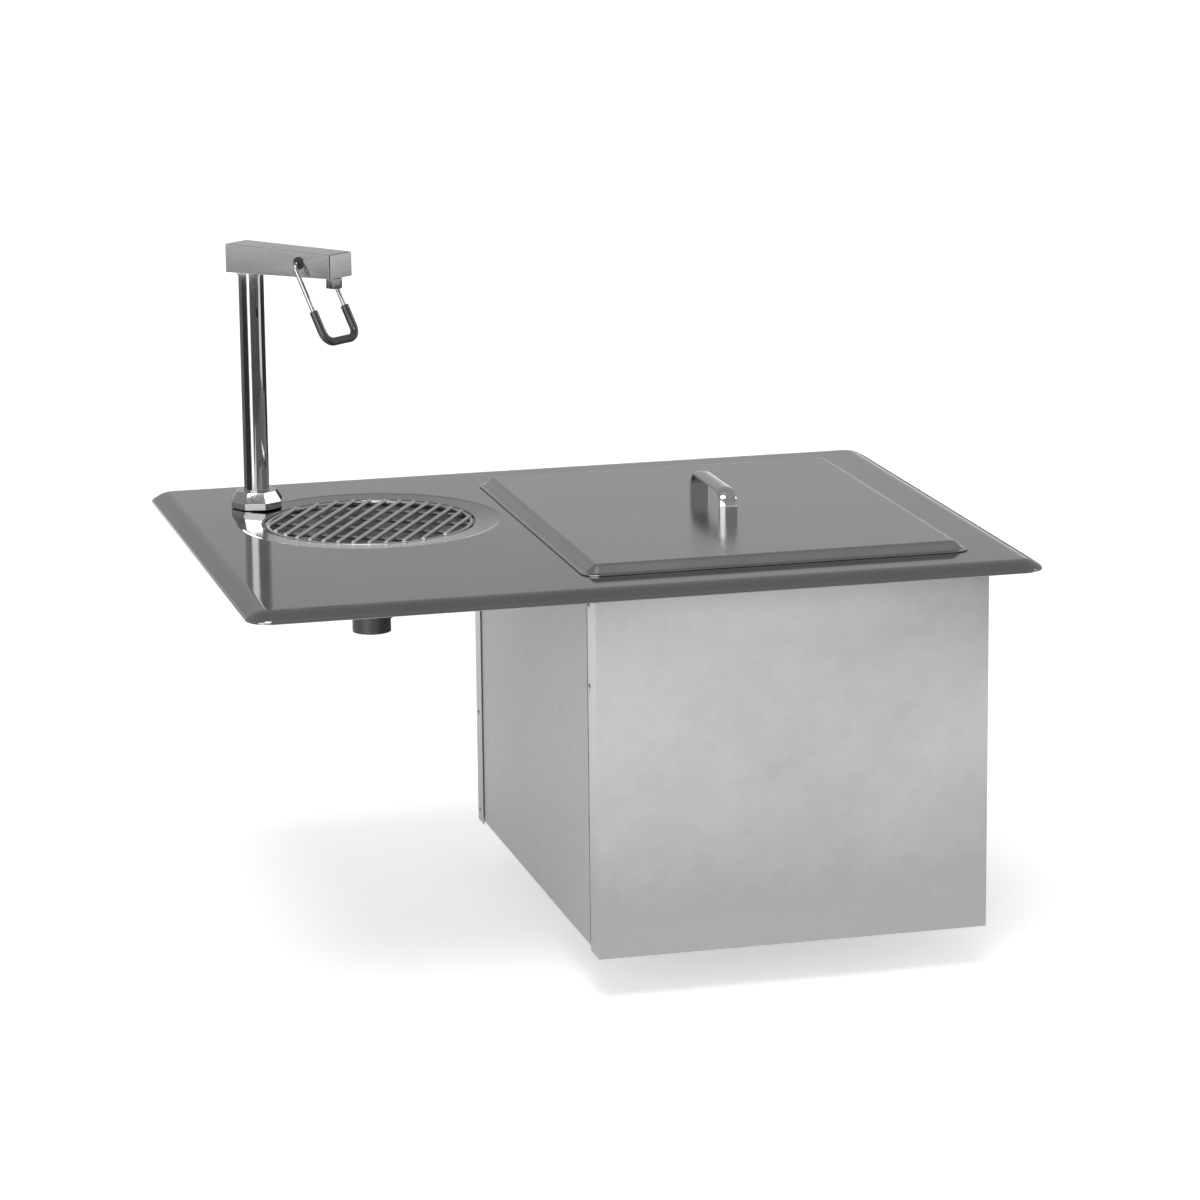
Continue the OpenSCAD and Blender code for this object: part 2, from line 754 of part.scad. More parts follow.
// An eight-sided foot with a tapered top, one face to the front
module filler_base() {
    color(bright) at_post() translate([0, 0, base_z]) difference() {
        rotate([0, 0, half_facet - base_turn]) union() {
            cylinder(d = base_d, h = base_foot_h, $fn = 8);
            translate([0, 0, base_foot_h]) cylinder(d1 = base_d, d2 = base_top_d, h = base_taper_h, $fn = 8);
        }
        translate([0, 0, -cut]) cylinder(r = shank_hole_r, h = base_top_z);
        translate([0, 0, base_shoulder_h]) cylinder(r = post_r + fit, h = base_top_z);
    }
}

module base_gasket() {
    gasket_r = base_d * cos(half_facet) / 2 - sheet_t;
    color(rubber) at_post() translate([0, 0, rim_h]) ring(gasket_r, shank_hole_r, base_gasket_t);
}

module filler_post() {
    color(bright) at_post() translate([0, 0, base_z + base_shoulder_h])
        ring(post_r, post_r - post_wall, arm_under_h + 2 * arm_wall - base_z - base_shoulder_h);
}

module post_collar() {
    color(bright) at_post() translate([0, 0, arm_under_h - collar_h])
        ring(post_r + collar_w, post_r + fit, collar_h);
}

// The threaded shank that holds the filler down, with a spigot inside the post
module filler_shank() {
    top_z = base_z + base_shoulder_h;
    bore_h = shank_h + top_z + shank_spigot_h + 2 * cut;
    color(brass) at_post() difference() {
        union() {
            translate([0, 0, -shank_h]) cylinder(r = shank_r, h = shank_h);
            translate([0, 0, -shank_thread_h]) cylinder(r = shank_thread_r, h = shank_thread_h + top_z);
            translate([0, 0, top_z]) cylinder(r = post_r - post_wall - fit, h = shank_spigot_h);
        }
        translate([0, 0, -shank_h - cut]) cylinder(r = shank_bore_r, h = bore_h);
    }
}

module shank_washer() {
    color(bright) at_post() translate([0, 0, under_z - washer_t]) ring(shank_nut_r, shank_hole_r, washer_t);
}
module shank_nut() {
    color(brass) at_post() translate([0, 0, under_z - washer_t - shank_nut_h])
        hex_nut(shank_nut_r, shank_nut_h, shank_hole_r);
}

// The water tube up the post and along the arm to the valve
module supply_tube() {
    color(bright) along_arm() {
        translate([0, 0, -shank_h]) cylinder(r = tube_r, h = tube_z - tube_bend_r + shank_h, $fn = 32);
        translate([tube_bend_r, 0, tube_z - tube_bend_r]) rotate([90, 0, 0]) rotate([0, 0, 90])
            rotate_extrude(angle = 90) translate([tube_bend_r, 0]) circle(tube_r, $fn = 32);
        translate([tube_bend_r, 0, tube_z]) rotate([0, 90, 0])
            cylinder(r = tube_r, h = valve_back_s - tube_bend_r, $fn = 32);
    }
}

// The arm's side outline, drawn in by wall on the back, top and underside, up to the length front
module arm_outline(wall, front) {
    back = -arm_back_l + wall;
    polygon([
        [back, arm_under(back) + wall], [front, arm_under(front) + wall],
        [front, arm_top_z - wall], [back, arm_top_z - wall]
    ]);
}

// An upright slab of the arm's outline, w wide
module arm_block(wall, front, w) {
    translate([0, w / 2, 0]) rotate([90, 0, 0]) linear_extrude(w) arm_outline(wall, front);
}

module filler_arm() {
    color(steel) along_arm() difference() {
        arm_block(0, arm_front_l - cap_t - cap_seam, arm_w);
        arm_block(arm_wall, arm_front_l, arm_w - 2 * arm_wall);
        translate([0, 0, arm_under_h - cut]) cylinder(r = post_r + fit, h = arm_back_h / 2);
        translate([outlet_s, 0, arm_under_h - cut]) cylinder(r = nozzle_neck_r + fit, h = arm_back_h / 2);
        translate([pivot_s, arm_w, pivot_z]) rotate([90, 0, 0]) cylinder(r = bush_r + fit, h = 2 * arm_w);
    }
}

// The plate that closes the arm's tip, with a rim that fits inside the arm
module arm_end_cap() {
    rim_wall = arm_wall + fit;
    color(steel) along_arm() {
        intersection() {
            arm_block(0, arm_front_l, arm_w);
            tip_slice(arm_front_l - cap_t, cap_t);
        }
        difference() {
            intersection() {
                arm_block(rim_wall, arm_front_l, arm_w - 2 * rim_wall);
                tip_slice(valve_front_s + fit, arm_front_l - cap_t - valve_front_s);
            }
            arm_block(rim_wall + sheet_t, arm_front_l + cut, arm_w - 2 * (rim_wall + sheet_t));
        }
    }
}

// An upright slice across the arm, from a distance in front of the post
module tip_slice(from, l) {
    translate([from, -arm_w / 2, 0]) cube([l, arm_w, arm_top_z]);
}

module at_valve() { along_arm() translate([valve_s, 0, 0]) children(); }
module at_outlet() { along_arm() translate([outlet_s, 0, 0]) children(); }

module valve_body() {
    passage_z = guide_z - upper_chamber_h / 2;
    color(brass) difference() {
        along_arm() translate([valve_back_s, -valve_w / 2, valve_z])
            cube([valve_front_s - valve_back_s, valve_w, spring_z - valve_z]);
        at_valve() translate([0, 0, valve_z - cut]) {
            cylinder(r = chamber_r, h = guide_z - valve_z + cut, $fn = 32);
            cylinder(r = stem_r + fit, h = spring_z - valve_z + 2 * cut, $fn = 32);
        }
        along_arm() translate([valve_back_s - cut, 0, tube_z]) rotate([0, 90, 0])
            cylinder(r = inlet_r, h = valve_s - valve_back_s + cut, $fn = 32);
        along_arm() translate([valve_s, 0, passage_z]) rotate([0, 90, 0])
            cylinder(r = passage_r, h = outlet_s - valve_s, $fn = 32);
        at_outlet() translate([0, 0, valve_z - cut]) {
            cylinder(r = outlet_r, h = passage_z + 2 * passage_r - valve_z + cut, $fn = 32);
            cylinder(r = nozzle_neck_r + fit, h = nozzle_z + nozzle_neck_h + fit - valve_z + cut);
        }
    }
}

module valve_plug() {
    color(brass) at_valve() translate([0, 0, valve_z]) cylinder(r = chamber_r - fit, h = plug_t, $fn = 32);
}

module valve_seat() {
    color(rubber) at_valve() translate([0, 0, seat_z]) ring(chamber_r - fit, seat_bore_r, seat_t);
}

// The stem that the lever's cam presses down, with a head on top and a poppet under the seat
module valve_stem() {
    poppet_top_z = seat_z - fit;
    head_z = head_top_z - head_t;
    color(bright) at_valve() {
        translate([0, 0, poppet_top_z - poppet_t]) cylinder(r = poppet_r, h = poppet_t, $fn = 32);
        translate([0, 0, poppet_top_z]) cylinder(r = stem_r, h = head_z - poppet_top_z, $fn = 32);
        translate([0, 0, head_z]) cylinder(r = head_r, h = head_t, $fn = 32);
    }
}

// The spring that closes the valve, as a plain sleeve: it is hidden inside the arm
module valve_spring() {
    color(bright) at_valve() translate([0, 0, spring_z])
        ring(spring_r, stem_r + 4 * fit, spring_h);
}

module outlet_nozzle() {
    color(bright) at_outlet() translate([0, 0, nozzle_z - nozzle_h]) difference() {
        union() {
            cylinder(r = nozzle_r, h = nozzle_h, $fn = 6);
            cylinder(r = nozzle_neck_r, h = nozzle_h + nozzle_neck_h);
        }
        translate([0, 0, -cut]) cylinder(r = nozzle_bore_r, h = nozzle_h + nozzle_neck_h + 2 * cut);
    }
}

module outlet_screen() {
    color(bright) at_outlet() translate([0, 0, nozzle_z - nozzle_h]) difference() {
        cylinder(r = nozzle_bore_r - fit, h = strainer_t);
        for (k = [0:5]) rotate([0, 0, 60 * k]) translate([nozzle_bore_r / 2, 0, -cut])
            cylinder(r = nozzle_bore_r / 6, h = strainer_t + 2 * cut, $fn = 16);
    }
}

module pivot_bushes() {
    color(black) along_arm() for (side = [-1, 1]) translate([pivot_s, side * arm_w / 2, pivot_z])
        rotate([-side * 90, 0, 0]) difference() {
            union() {
                translate([0, 0, -bush_in_l]) cylinder(r = bush_r, h = bush_in_l);
                cylinder(r = bush_flange_r, h = bush_flange_t);
            }
            translate([0, 0, -bush_in_l - cut])
                cylinder(r = wire_r + fit, h = bush_in_l + bush_flange_t + 2 * cut);
        }
}

// The lever's own frame: z runs up its legs to the pivot, y along the pivot
module along_lever() { along_arm() translate([pivot_s, 0, pivot_z]) rotate([0, -lever_tilt, 0]) children(); }

// The lower part of the lever's loop, from a distance below the pivot on one leg to the same on the other
module loop_path(from, r) {
    run = lever_l - lever_bend_r - from;
    for (side = [-1, 1]) {
        translate([0, side * lever_w / 2, -from - run]) cylinder(r = r, h = run, $fn = 32);
        translate([0, side * (lever_w / 2 - lever_bend_r), -lever_l + lever_bend_r])
            rotate([90, 0, side * 90]) rotate([0, 0, -90]) rotate_extrude(angle = 90)
            translate([lever_bend_r, 0]) circle(r, $fn = 32);
    }
    translate([0, -lever_w / 2 + lever_bend_r, -lever_l]) rotate([-90, 0, 0])
        cylinder(r = r, h = lever_w - 2 * lever_bend_r, $fn = 32);
}

module lever_bail() {
    color(bright) along_lever() {
        loop_path(wire_bend_r, wire_r);
        for (side = [-1, 1]) translate([0, side * (lever_w / 2 - wire_bend_r), -wire_bend_r])
            rotate([90, 0, side * 90]) rotate_extrude(angle = 90)
            translate([wire_bend_r, 0]) circle(wire_r, $fn = 32);
        translate([0, -lever_w / 2 + wire_bend_r, 0]) rotate([-90, 0, 0])
            cylinder(r = wire_r, h = lever_w - 2 * wire_bend_r, $fn = 32);
    }
}

module lever_grip() {
    color(black) along_lever() difference() {
        loop_path(grip_start, grip_r);
        loop_path(grip_start - cut, wire_r + fit);
    }
}

// The finger on the lever's pivot wire that presses the valve's stem
module lever_cam() {
    color(brass) along_arm() translate([pivot_s, cam_w / 2, pivot_z]) rotate([90, 0, 0])
        linear_extrude(cam_w) difference() {
            union() {
                circle(cam_hub_r, $fn = 48);
                rotate(cam_angle) translate([0, -cam_arm_r]) square([cam_reach, 2 * cam_arm_r]);
                rotate(cam_angle) translate([cam_reach, 0]) circle(cam_nose_r, $fn = 32);
            }
            circle(wire_r + fit, $fn = 48);
        }
}

deck_top();
bin_liner();
foam_front();
foam_back();
foam_left();
foam_right();
foam_floor();
case_front();
case_back();
case_left();
case_right();
case_floor();
case_rivets();
bin_strainer();
bin_drain_body();
bin_drain_gasket();
bin_drain_washer();
bin_drain_nut();
lid_shell();
lid_hem();
lid_handle();
handle_screws();
pan_bowl();
drip_grille();
pan_strainer();
pan_drain_body();
pan_drain_gasket();
pan_drain_washer();
pan_drain_nut();
filler_base();
base_gasket();
filler_post();
post_collar();
filler_shank();
shank_washer();
shank_nut();
supply_tube();
filler_arm();
arm_end_cap();
outlet_nozzle();
outlet_screen();
valve_body();
valve_plug();
valve_seat();
valve_stem();
valve_spring();
pivot_bushes();
lever_bail();
lever_cam();
lever_grip();
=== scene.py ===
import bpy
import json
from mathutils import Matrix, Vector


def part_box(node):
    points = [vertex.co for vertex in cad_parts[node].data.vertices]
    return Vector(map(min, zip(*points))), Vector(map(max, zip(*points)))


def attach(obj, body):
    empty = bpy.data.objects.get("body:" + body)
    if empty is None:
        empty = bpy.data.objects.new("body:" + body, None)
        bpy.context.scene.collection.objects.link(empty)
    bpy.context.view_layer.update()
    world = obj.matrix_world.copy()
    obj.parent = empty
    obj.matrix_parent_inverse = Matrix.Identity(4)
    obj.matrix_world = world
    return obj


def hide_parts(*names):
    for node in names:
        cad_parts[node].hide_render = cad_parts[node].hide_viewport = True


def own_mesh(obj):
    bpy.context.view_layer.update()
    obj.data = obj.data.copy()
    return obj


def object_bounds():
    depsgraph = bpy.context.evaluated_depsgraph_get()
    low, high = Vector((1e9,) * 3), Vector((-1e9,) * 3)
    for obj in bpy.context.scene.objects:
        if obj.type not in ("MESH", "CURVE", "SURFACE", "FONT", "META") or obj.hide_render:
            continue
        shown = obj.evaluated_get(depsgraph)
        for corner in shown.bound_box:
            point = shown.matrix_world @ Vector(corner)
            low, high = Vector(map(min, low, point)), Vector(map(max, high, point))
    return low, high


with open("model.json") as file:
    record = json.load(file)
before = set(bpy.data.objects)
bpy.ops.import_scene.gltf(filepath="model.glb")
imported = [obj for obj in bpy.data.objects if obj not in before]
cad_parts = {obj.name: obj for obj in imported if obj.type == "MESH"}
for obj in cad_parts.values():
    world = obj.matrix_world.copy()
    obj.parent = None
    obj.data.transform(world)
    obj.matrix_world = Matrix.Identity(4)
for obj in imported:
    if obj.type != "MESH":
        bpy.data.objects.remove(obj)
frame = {"nodes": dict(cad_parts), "record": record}
cad_box = [list(corner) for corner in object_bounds()]

import json
import math

import bmesh
import bpy
from mathutils import Matrix, Vector, noise

# Drop-in ice bin with a glass filler, dressed for rendering.
# Places and lengths are in millimetres, which MM turns into metres, unless a comment says otherwise.
MM = 0.001
NODES = frame["nodes"]
SLOT_OF = {row["node"]: row["material_slot"] for row in frame["record"]["subparts"]}


# Camera, with its angles in radians and its clipping distances in metres
FOCAL_PX = 4492.36
FRAME_PX = 1200
SENSOR = 36.0
CAMERA_AT = (-907.48, -3620.61, 814.16)
YAW, PITCH, ROLL = 0.25002, 0.229506, -0.010373
CLIP_NEAR, CLIP_FAR = 0.1, 500


def make_camera():
    """A camera at the photograph's angle, with its focal length given in pixels of its frame."""
    data = bpy.data.cameras.new("camera")
    data.sensor_width = SENSOR
    data.lens = FOCAL_PX / FRAME_PX * SENSOR
    data.clip_start = CLIP_NEAR
    data.clip_end = CLIP_FAR
    cam = bpy.data.objects.new("camera", data)
    bpy.context.scene.collection.objects.link(cam)
    ahead = Vector((math.sin(YAW) * math.cos(PITCH), math.cos(YAW) * math.cos(PITCH), -math.sin(PITCH)))
    level = Vector((math.cos(YAW), -math.sin(YAW), 0))
    upright = level.cross(ahead)
    right = level * math.cos(ROLL) + upright * math.sin(ROLL)
    up = upright * math.cos(ROLL) - level * math.sin(ROLL)
    turn = Matrix((right, up, -ahead)).transposed().to_4x4()
    cam.matrix_world = Matrix.Translation(Vector(CAMERA_AT) * MM) @ turn
    bpy.context.scene.camera = cam


make_camera()


# Node helpers. Noise scales are in waves to the metre, and bump distances and surface coordinates in metres.
MATS = {}


class Mat:
    """Builds one procedural material and keeps it in MATS by its name."""

    def __init__(self, name):
        self.mat = bpy.data.materials.new(name)
        MATS[name] = self.mat
        self.mat.use_nodes = True
        self.tree = self.mat.node_tree
        self.shader = self.tree.nodes["Principled BSDF"]
        self.place = self.add("ShaderNodeTexCoord").outputs["Object"]

    def add(self, kind, **values):
        """Adds a node and sets its inputs or its settings by name."""
        node = self.tree.nodes.new(kind)
        for key, value in values.items():
            if key in node.inputs:
                node.inputs[key].default_value = value
            else:
                setattr(node, key, value)
        return node

    def link(self, out, into):
        self.tree.links.new(out, into)

    def noise(self, scale, detail=2.0, stretch=None, rough=0.5):
        """Noise of a scale, with its waves multiplied along each axis by stretch."""
        at = self.place
        if stretch:
            mapping = self.add("ShaderNodeMapping", Scale=stretch)
            self.link(self.place, mapping.inputs["Vector"])
            at = mapping.outputs["Vector"]
        node = self.add("ShaderNodeTexNoise", Scale=scale, Detail=detail, Roughness=rough)
        self.link(at, node.inputs["Vector"])
        return node.outputs["Fac"]

    def voronoi(self, scale):
        node = self.add("ShaderNodeTexVoronoi", Scale=scale)
        self.link(self.place, node.inputs["Vector"])
        return node

    def ranged(self, value, low, high, start=0.3, end=0.7):
        """Goes from low to high as the value goes from start to end."""
        node = self.add("ShaderNodeMapRange")
        for key, number in (("From Min", start), ("From Max", end), ("To Min", low), ("To Max", high)):
            node.inputs[key].default_value = number
        self.link(value, node.inputs["Value"])
        return node.outputs["Result"]

    def axis(self, name):
        """One coordinate of the surface."""
        node = self.add("ShaderNodeSeparateXYZ")
        self.link(self.place, node.inputs["Vector"])
        return node.outputs[name]

    def sum(self, a, b, operation="ADD"):
        """Joins a value with another value or a number, by adding unless another operation is named."""
        node = self.add("ShaderNodeMath", operation=operation)
        self.link(a, node.inputs[0])
        if isinstance(b, (int, float)):
            node.inputs[1].default_value = b
        else:
            self.link(b, node.inputs[1])
        return node.outputs[0]

    def tint(self, value, dark, light):
        """Base colour that goes from dark to light as the value goes from 0 to 1."""
        node = self.add("ShaderNodeMix", data_type="RGBA")
        colours = [socket for socket in node.inputs if socket.type == "RGBA"]
        colours[0].default_value = (*dark, 1)
        colours[1].default_value = (*light, 1)
        self.link(value, node.inputs["Factor"])
        out = [socket for socket in node.outputs if socket.type == "RGBA"][0]
        self.link(out, self.shader.inputs["Base Color"])

    def roughness(self, value):
        self.link(value, self.shader.inputs["Roughness"])

    def bumps(self, *layers):
        """Stacks bump layers, each of a height, a strength and a distance."""
        normal = None
        for height, strength, distance in layers:
            node = self.add("ShaderNodeBump", Strength=strength, Distance=distance)
            self.link(height, node.inputs["Height"])
            if normal:
                self.link(normal, node.inputs["Normal"])
            normal = node.outputs["Normal"]
        self.link(normal, self.shader.inputs["Normal"])

    def fixed(self, **values):
        """Sets inputs of the shader, with _ for each space in their names."""
        for key, value in values.items():
            self.shader.inputs[key.replace("_", " ")].default_value = value


def grey(v):
    return (v, v, v)


# Metals
CLOUD_SCALE, GRAIN_SCALE = 9, 55
GRIME = 0.06
GRAIN_HEIGHT, WAVE_HEIGHT = 0.0002, 0.004


def steel(name, base, rough, spread, grain, wave=0.0, wave_scale=0.0, grain_bump=0.04):
    """Bright metal: fine rubbed grain, faint cloudy tone and, if asked, slow waves that bend reflections."""
    m = Mat(name)
    m.fixed(Metallic=1.0)
    cloud = m.noise(CLOUD_SCALE, detail=3)
    fine = m.noise(GRAIN_SCALE, detail=4, stretch=grain)
    m.tint(m.ranged(cloud, 0, 1), grey(base * (1 - GRIME)), grey(base * (1 + GRIME / 2)))
    gloss = m.ranged(cloud, rough - spread / 2, rough + spread / 2)
    m.roughness(m.sum(m.ranged(fine, -spread, spread), gloss))
    layers = [(fine, grain_bump, GRAIN_HEIGHT)]
    if wave:
        layers.insert(0, (m.noise(wave_scale, detail=1), wave, WAVE_HEIGHT))
    m.bumps(*layers)


# Zinc: heights between which its painted light fades in up the sheet, and the width and height of the painted
# shade on its upper corner
ZINC_PAINTED_LIGHT_Z = (-0.30, -0.02)
ZINC_SHADE_X, ZINC_SHADE_Z = (0.13, 0.29), (-0.15, -0.02)
ZINC_CLOUD_SCALE, ZINC_SPANGLE_SCALE, ZINC_GRAIN_SCALE, ZINC_WAVE_SCALE = 6.5, 95, 70, 5
ZINC_CLOUD_FROM, ZINC_CLOUD_TO = 0.32, 0.68
ZINC_METALLIC, ZINC_SPECKS = 0.3, 0.08
ZINC_GLOSS, ZINC_GLOSS_SPREAD = (0.38, 0.48), 0.05
ZINC_WAVE_BUMP, ZINC_GRAIN_BUMP = 0.12, 0.05
ROLLED = (1, 1, 14)


def zinc(name, tones, painted_light_fade, cloudy, corner):
    """Galvanised sheet: fine spangle and cloudy tone, with painted light that brightens it up the sheet and
    painted shade on one upper corner.
    """
    m = Mat(name)
    m.fixed(Metallic=ZINC_METALLIC)
    cloud = m.noise(ZINC_CLOUD_SCALE, detail=3, rough=0.55)
    spangle = m.add("ShaderNodeSeparateColor")
    m.link(m.voronoi(ZINC_SPANGLE_SCALE).outputs["Color"], spangle.inputs["Color"])
    clouds = m.ranged(cloud, 0, cloudy, ZINC_CLOUD_FROM, ZINC_CLOUD_TO)
    specks = m.ranged(spangle.outputs[0], 0, ZINC_SPECKS, start=0, end=1)
    # Painted light and shade: the tone grows lighter up the sheet and darker towards its foot.
    height = m.ranged(m.axis("Z"), *painted_light_fade, *ZINC_PAINTED_LIGHT_Z)
    # Painted shade: one upper corner is darker.
    shade_x = m.ranged(m.axis("X"), 0, corner, *ZINC_SHADE_X)
    shade_z = m.ranged(m.axis("Z"), 0, 1, *ZINC_SHADE_Z)
    tone_and_painted_light = m.sum(m.sum(clouds, specks), height)
    m.tint(m.sum(tone_and_painted_light, m.sum(shade_x, shade_z, "MULTIPLY"), "SUBTRACT"), grey(tones[0]), grey(tones[1]))
    grain = m.noise(ZINC_GRAIN_SCALE, detail=4, stretch=ROLLED)
    m.roughness(m.sum(m.ranged(cloud, *ZINC_GLOSS), m.ranged(grain, -ZINC_GLOSS_SPREAD, ZINC_GLOSS_SPREAD)))
    waves = m.noise(ZINC_WAVE_SCALE, detail=1)
    m.bumps((waves, ZINC_WAVE_BUMP, WAVE_HEIGHT), (grain, ZINC_GRAIN_BUMP, GRAIN_HEIGHT))


# Grille: heights between which the painted shade on its deep cross bars gives way to its top bars
GRILLE_SHADE_Z = (0.0062, 0.0076)
GRILLE_SHADE_AND_BAR_TONES, GRILLE_GLOSS = (0.16, 0.62), (0.28, 0.40)
GRILLE_WEAR_SCALE, GRILLE_WEAR, GRILLE_PIT_SCALE, GRILLE_BUMP = 45, 0.08, 300, 0.05


def grille_steel():
    """Plated bars with painted shade on the cross bars that lie deep, and a tone that varies with wear where
    they are rubbed.
    """
    m = Mat("grille_steel")
    m.fixed(Metallic=1.0)
    wear = m.noise(GRILLE_WEAR_SCALE, detail=3)
    # Painted shade: everything below the top bars is darker.
    out_of_shade = m.ranged(m.axis("Z"), 0, 1, *GRILLE_SHADE_Z)
    tone_and_painted_light = m.sum(out_of_shade, m.ranged(wear, -GRILLE_WEAR, GRILLE_WEAR))
    m.tint(tone_and_painted_light, grey(GRILLE_SHADE_AND_BAR_TONES[0]), grey(GRILLE_SHADE_AND_BAR_TONES[1]))
    m.roughness(m.ranged(wear, *GRILLE_GLOSS))
    m.bumps((m.noise(GRILLE_PIT_SCALE), GRILLE_BUMP, GRAIN_HEIGHT))


BRASS_DARK, BRASS_LIGHT, BRASS_GLOSS = (0.42, 0.33, 0.17), (0.58, 0.46, 0.24), (0.22, 0.36)
BRASS_CLOUD_SCALE, BRASS_GRAIN_SCALE, BRASS_BUMP = 40, 60, 0.06
TURNED = (4, 4, 60)


def brass():
    """Turned brass, with fine rings round it."""
    m = Mat("brass")
    m.fixed(Metallic=1.0)
    turned = m.noise(BRASS_GRAIN_SCALE, detail=3, stretch=TURNED)
    m.tint(m.ranged(m.noise(BRASS_CLOUD_SCALE, detail=3), 0, 1), BRASS_DARK, BRASS_LIGHT)
    m.roughness(m.ranged(turned, *BRASS_GLOSS))
    m.bumps((turned, BRASS_BUMP, GRAIN_HEIGHT))


# Foam, rubber and plastics
FOAM_DARK, FOAM_LIGHT, FOAM_ROUGH = (0.72, 0.66, 0.48), (0.86, 0.80, 0.62), 0.9
FOAM_CLOUD_SCALE, FOAM_CELL_SCALE, FOAM_BUMP, FOAM_CELL_DEPTH = 30, 420, 0.5, 0.001


def foam():
    """Blown foam with open cells."""
    m = Mat("foam")
    cells = m.voronoi(FOAM_CELL_SCALE)
    m.tint(m.ranged(m.noise(FOAM_CLOUD_SCALE, detail=4), 0, 1), FOAM_DARK, FOAM_LIGHT)
    m.fixed(Roughness=FOAM_ROUGH)
    m.bumps((cells.outputs["Distance"], FOAM_BUMP, FOAM_CELL_DEPTH))


def dull(name, tones, tone_scale, rough, rough_scale, pores, rough_detail=3, **values):
    """Dark rubber or plastic: cloudy tone, uneven gloss, and pores, each a scale, strength and distance."""
    m = Mat(name)
    m.fixed(**values)
    m.tint(m.ranged(m.noise(tone_scale, detail=3), 0, 1), grey(tones[0]), grey(tones[1]))
    m.roughness(m.ranged(m.noise(rough_scale, detail=rough_detail), *rough))
    m.bumps(*((m.noise(scale), strength, distance) for scale, strength, distance in pores))


steel("deck_steel", base=0.30, rough=0.08, spread=0.03, grain=(1, 40, 40), wave=0.05, wave_scale=6)
steel("lid_steel", base=0.38, rough=0.21, spread=0.04, grain=(1, 40, 40), wave=0.06, wave_scale=7)
steel("liner_steel", base=0.84, rough=0.38, spread=0.05, grain=(40, 40, 1), wave=0.06, wave_scale=9)
steel("pan_steel", base=0.62, rough=0.30, spread=0.05, grain=(30, 30, 30), wave=0.10, wave_scale=14)
steel("arm_steel", base=0.50, rough=0.24, spread=0.05, grain=(6, 6, 80), wave=0.04, wave_scale=20)
# The drain's steel has a very dark base: painted shade for the drain, which hangs in shade under the deck.
# The pan's thread and the valve's coil use it too.
steel("drain_steel", base=0.095, rough=0.40, spread=0.06, grain=(50, 50, 6))
steel("rivet_steel", base=0.40, rough=0.25, spread=0.06, grain=(20, 20, 20))
steel("chrome", base=0.50, rough=0.06, spread=0.025, grain=(14, 14, 14), wave=0.03, wave_scale=30,
      grain_bump=0.02)
# A darker copy of the chrome for the outlet nozzle: painted shade for its dark facets.
steel("nozzle_chrome_shaded", base=0.26, rough=0.12, spread=0.03, grain=(14, 14, 14), wave=0.05, wave_scale=40)
steel("handle_chrome", base=0.60, rough=0.05, spread=0.02, grain=(14, 14, 14), wave=0.06, wave_scale=30,
      grain_bump=0.02)
# The front and back: painted light up the sheet and painted shade on one upper corner.
zinc("case_zinc", tones=(0.41, 0.72), painted_light_fade=(-0.32, 0.86), cloudy=0.30, corner=0.72)
# The sides: a darker copy of the zinc, painted shade that makes them darker than the front.
zinc("side_zinc_shaded", tones=(0.31, 0.50), painted_light_fade=(0.26, 0.26), cloudy=0.26, corner=0.0)
grille_steel()
brass()
foam()
# Dark bead finish. Along the case folds it is painted shade in the gaps between the panels.
dull("sealant", tones=(0.05, 0.11), tone_scale=40, rough=(0.45, 0.65), rough_scale=80, rough_detail=2,
     pores=((500, 0.2, 0.0003),))
dull("rubber", tones=(0.022, 0.04), tone_scale=120, rough=(0.55, 0.75), rough_scale=60,
     pores=((900, 0.15, 0.0002),))
dull("grip_vinyl", tones=(0.018, 0.045), tone_scale=70, rough=(0.14, 0.26), rough_scale=90,
     pores=((160, 0.16, 0.0006), (1400, 0.05, 0.0001)), Coat_Weight=0.6, Coat_Roughness=0.08)
dull("bush_plastic", tones=(0.015, 0.03), tone_scale=90, rough=(0.4, 0.55), rough_scale=150,
     pores=((1200, 0.08, 0.0002),))

# Pieces whose finish isn't the one that is named like their slot
FINISH_OF = {"drip_grille": "grille_steel", "pan_bowl": "pan_steel", "outlet_nozzle": "nozzle_chrome_shaded",
             "case_left": "side_zinc_shaded", "case_right": "side_zinc_shaded"}


def dress(obj, material):
    """Gives an object one material in place of what it has."""
    obj.data.materials.clear()
    obj.data.materials.append(MATS[material])


for node_name, node_slot in SLOT_OF.items():
    dress(NODES[node_name], FINISH_OF.get(node_name, node_slot))


# Mesh helpers
def fillet(points, steps=5):
    """Rounds an open outline. A point is (x, z), or (x, z, radius) where its corner is round."""
    pts = [Vector(point[:2]) for point in points]
    out = []
    for i, p in enumerate(pts):
        if len(points[i]) == 2:
            out.append(tuple(p))
            continue
        r = points[i][2]
        to_a = (pts[i - 1] - p).normalized()
        to_b = (pts[i + 1] - p).normalized()
        half = to_a.angle(to_b) / 2
        centre = p + (to_a + to_b).normalized() * (r / math.sin(half))
        first = p + to_a * (r / math.tan(half)) - centre
        last = p + to_b * (r / math.tan(half)) - centre
        sweep = first.angle_signed(last)
        for k in range(steps + 1):
            a = -sweep * k / steps
            turned_x = first.x * math.cos(a) - first.y * math.sin(a)
            turned_y = first.x * math.sin(a) + first.y * math.cos(a)
            out.append(tuple(centre + Vector((turned_x, turned_y))))
    return out


